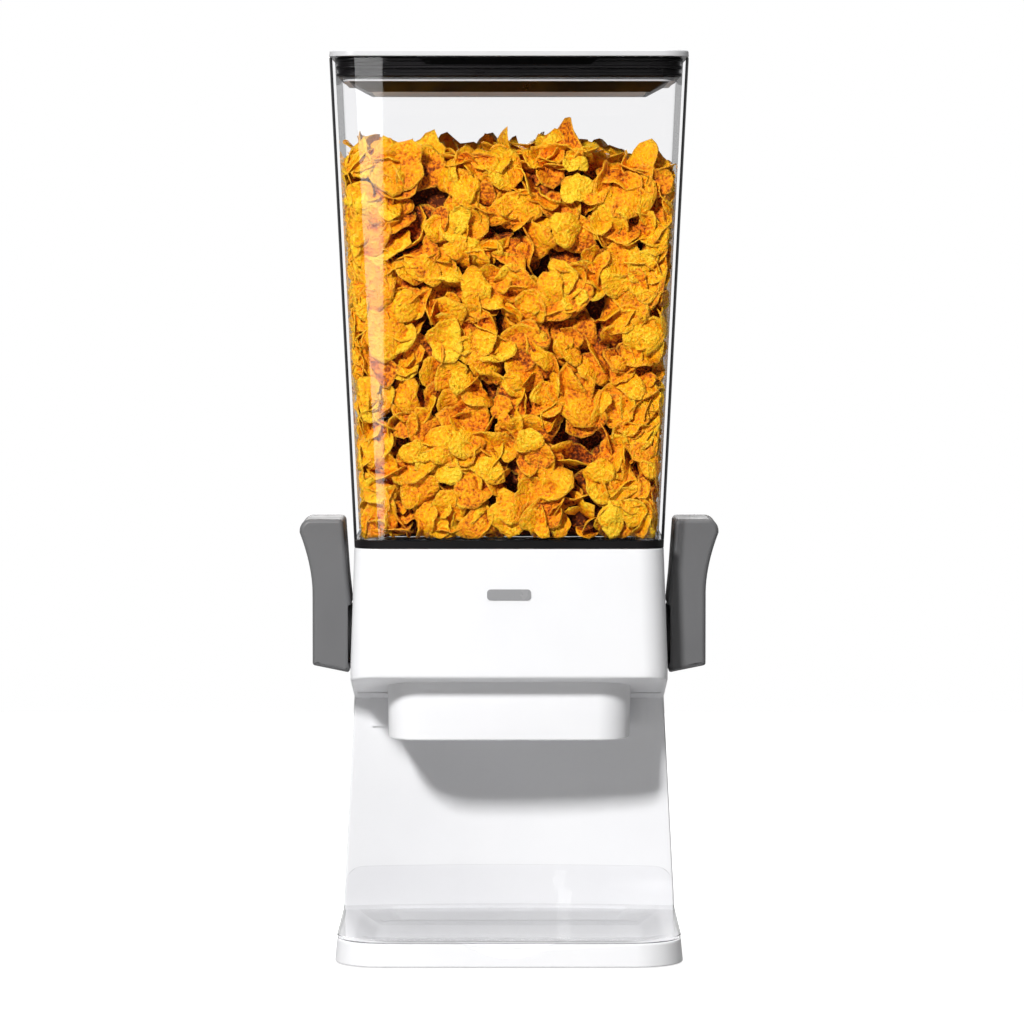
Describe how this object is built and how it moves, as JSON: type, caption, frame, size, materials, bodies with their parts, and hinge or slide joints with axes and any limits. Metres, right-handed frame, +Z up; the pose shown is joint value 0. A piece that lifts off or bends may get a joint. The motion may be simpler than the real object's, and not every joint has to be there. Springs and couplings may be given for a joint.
{
  "type": "cereal dispenser",
  "caption": "Countertop cereal dispenser: a white stand holds a clear container with a push-button lid over a hand-turned vaned rotor, a chute and a lift-out tray.",
  "frame": {"origin": "centre of the footprint on the table", "axes": "+Z up, -Y towards the user at the front, +X to the user's right"},
  "size_m": [0.231, 0.19, 0.492],
  "materials": {
    "white_plastic": "satin moulded white plastic",
    "lid_white": "satin moulded white plastic",
    "inner_plastic": "plain moulded pale grey plastic",
    "handle_grey": "fine-textured soft-touch mid grey",
    "clear_plastic": "polished clear plastic",
    "tray_plastic": "polished translucent plastic",
    "seal_rubber": "smooth near-black silicone",
    "vane_silicone": "smooth pale grey silicone",
    "foot_rubber": "matt dark rubber",
    "bush_plastic": "plain dark bearing plastic",
    "steel": "turned bright steel",
    "badge_grey": "plain grey inlay without lettering"
  },
  "bodies": {
    "stand": {"base_shell": "white_plastic", "base_cover": "inner_plastic", "base_screws": "steel", "foot_front_left": "foot_rubber", "foot_front_right": "foot_rubber", "foot_rear_left": "foot_rubber", "foot_rear_right": "foot_rubber", "column_shell": "white_plastic", "column_cover": "white_plastic", "head_shell": "white_plastic", "head_cover": "white_plastic", "cover_screws": "steel", "underside_plate": "white_plastic", "badge": "badge_grey", "funnel": "inner_plastic", "rotor_chamber": "inner_plastic", "chute": "white_plastic", "bush_left": "bush_plastic", "bush_right": "bush_plastic"},
    "rotor": {"shaft": "steel", "rotor_hub": "inner_plastic", "vane_1": "vane_silicone", "vane_2": "vane_silicone", "vane_3": "vane_silicone", "vane_4": "vane_silicone", "vane_5": "vane_silicone", "vane_6": "vane_silicone", "handle_left": "handle_grey", "handle_right": "handle_grey", "handle_plate_left": "handle_grey", "handle_plate_right": "handle_grey", "handle_cap_left": "handle_grey", "handle_cap_right": "handle_grey", "handle_screw_left": "steel", "handle_screw_right": "steel"},
    "container": {"container": "clear_plastic", "container_seal": "seal_rubber"},
    "lid": {"lid_plate": "lid_white", "lid_body": "lid_white", "lid_gasket": "seal_rubber", "lid_skirt": "seal_rubber", "lid_liner": "lid_white"},
    "button": {"button_cap": "lid_white", "button_stem": "inner_plastic", "button_bellows": "seal_rubber"},
    "tray": {"tray": "tray_plastic"}
  },
  "joints": [
    {"name": "rotor_turn", "type": "hinge", "parent": "stand", "child": "rotor", "pos_m": [0, 0.018, 0.172], "axis": [1, 0, 0], "continuous": true},
    {"name": "container_lift", "type": "slide", "parent": "stand", "child": "container", "axis": [0, 0, 1], "range_m": [0, 0.06]},
    {"name": "lid_lift", "type": "slide", "parent": "container", "child": "lid", "axis": [0, 0, 1], "range_m": [0, 0.05]},
    {"name": "button_rise", "type": "slide", "parent": "lid", "child": "button", "axis": [0, 0, 1], "range_m": [0, 0.009], "deforming": ["button_bellows"]},
    {"name": "tray_lift", "type": "slide", "parent": "stand", "child": "tray", "axis": [0, 0, 1], "range_m": [0, 0.03]}
  ]
}
